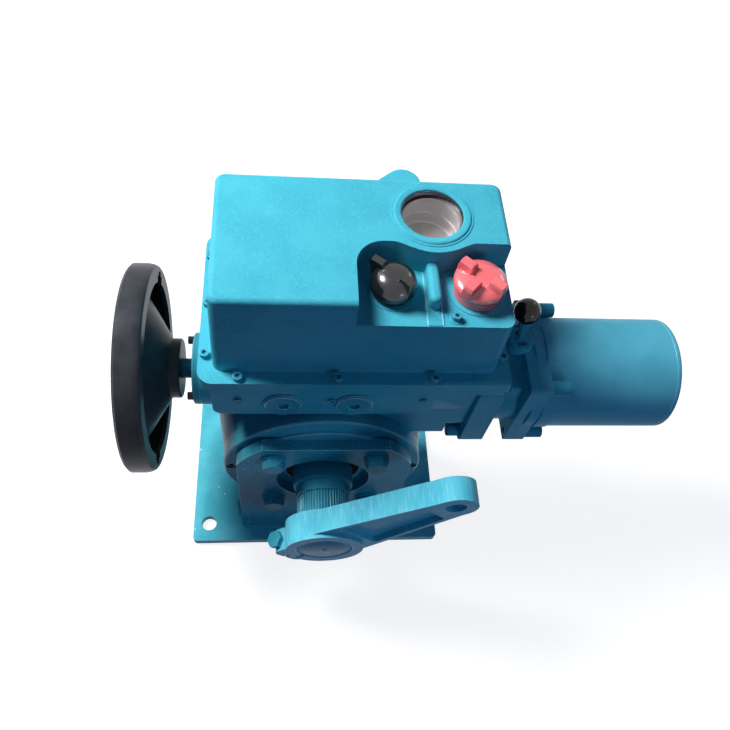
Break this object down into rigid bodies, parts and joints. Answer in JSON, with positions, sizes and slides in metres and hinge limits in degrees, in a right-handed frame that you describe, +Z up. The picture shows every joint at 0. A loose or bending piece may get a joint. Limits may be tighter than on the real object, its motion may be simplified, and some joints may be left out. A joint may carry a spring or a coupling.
{
  "type": "quarter-turn electric actuator",
  "caption": "Foot-mounted quarter-turn electric actuator: worm gear case with a clamped crank arm, electrical housing with window and selector knobs, side motor and handwheel.",
  "frame": {"origin": "centre of the base plate's bolt pattern, on the plate's underside", "axes": "+Z up, +X from the handwheel to the motor, -Y towards the crank arm"},
  "size_m": [0.623, 0.315, 0.4923],
  "materials": {
    "teal_paint": "glossy teal enamel with a fine grain",
    "plate_paint": "glossy teal enamel over rolled steel",
    "black_screws": "blackened steel",
    "machined_steel": "turned and ground steel",
    "bronze": "machined bronze",
    "black_rubber": "matte black",
    "wheel_black": "satin black paint",
    "window_glass": "clear",
    "dull_aluminium": "dull cast and turned",
    "pointer_red": "matte red",
    "black_knob": "glossy black",
    "red_knob": "glossy red",
    "ball_black": "glossy black",
    "switch_plastic": "matte pale grey",
    "board_green": "circuit board with pale parts",
    "stator_iron": "laminated iron"
  },
  "bodies": {
    "frame": {"base_plate": "plate_paint", "bracket_plate": "plate_paint", "bracket_gussets": "plate_paint", "bracket_welds": "plate_paint", "bracket_bolts": "teal_paint", "gear_case": "teal_paint", "side_cover": "teal_paint", "side_cover_screws": "black_screws", "output_bushes": "bronze", "shaft_seal": "black_rubber", "rear_cover": "teal_paint", "rear_cover_screws": "black_screws", "bearing_outer_rings": "machined_steel", "bearing_balls": "machined_steel", "worm_end_cap": "teal_paint", "worm_end_cap_screws": "black_screws", "worm_seal": "black_rubber", "electrical_cover": "teal_paint", "cover_gasket": "black_rubber", "cover_screws": "black_screws", "window_glass": "window_glass", "dial_well": "dull_aluminium", "position_dial": "dull_aluminium", "limit_switch_unit": "switch_plastic", "knob_seal_rings": "black_rubber", "shelf_screw": "black_screws", "cable_entry_plate": "teal_paint", "entry_screws": "black_screws", "blanking_plugs": "teal_paint", "plug_nuts": "dull_aluminium", "board_pillars": "machined_steel", "control_board": "board_green", "terminal_block": "switch_plastic", "clutch_housing": "teal_paint", "case_flange_bolts": "teal_paint", "motor_bolts": "teal_paint", "lever_pin": "machined_steel", "motor_housing": "teal_paint", "motor_end_cover": "teal_paint", "motor_bearings": "machined_steel", "motor_stator": "stator_iron"},
    "output": {"output_shaft": "machined_steel", "worm_wheel": "bronze", "wheel_key": "machined_steel", "crank_arm": "teal_paint", "clamp_bolt": "teal_paint", "clamp_nut": "teal_paint"},
    "worm": {"worm_shaft": "machined_steel", "bearing_inner_rings": "machined_steel", "handwheel": "wheel_black", "handwheel_nut": "machined_steel", "clutch_sleeve": "machined_steel"},
    "pointer": {"position_pointer": "pointer_red"},
    "black_selector": {"black_knob": "black_knob"},
    "red_selector": {"red_knob": "red_knob"},
    "lever": {"declutch_lever": "machined_steel", "lever_ball": "ball_black"},
    "rotor": {"motor_rotor": "machined_steel"}
  },
  "joints": [
    {"name": "worm_turn", "type": "hinge", "parent": "frame", "child": "worm", "pos_m": [0, -0.01, 0.286], "axis": [1, 0, 0], "range_deg": [-2250, 2250]},
    {"name": "output_turn", "type": "hinge", "parent": "frame", "child": "output", "pos_m": [0, 0, 0.175], "axis": [0, 1, 0], "range_deg": [-45, 45]},
    {"name": "pointer_turn", "type": "hinge", "parent": "frame", "child": "pointer", "pos_m": [0.0938, 0.0481, 0.44], "axis": [0, 0, 1], "range_deg": [-45, 45]},
    {"name": "rotor_spin", "type": "hinge", "parent": "frame", "child": "rotor", "pos_m": [0.3, -0.01, 0.286], "axis": [1, 0, 0], "continuous": true},
    {"name": "black_knob_turn", "type": "hinge", "parent": "frame", "child": "black_selector", "pos_m": [0.053, -0.0224, 0.46], "axis": [0, 0, 1], "range_deg": [-45, 45], "stiffness_Nm_per_rad": 0.08},
    {"name": "red_knob_turn", "type": "hinge", "parent": "frame", "child": "red_selector", "pos_m": [0.137, -0.0224, 0.46], "axis": [0, 0, 1], "range_deg": [-60, 60]},
    {"name": "lever_tilt", "type": "hinge", "parent": "frame", "child": "lever", "pos_m": [0.2137, -0.0093, 0.351], "axis": [1, 0, 0], "range_deg": [0, 39]}
  ],
  "couplings": [
    {"joint": "output_turn", "follows": "worm_turn", "ratio": -0.02},
    {"joint": "pointer_turn", "follows": "worm_turn", "ratio": -0.02}
  ]
}
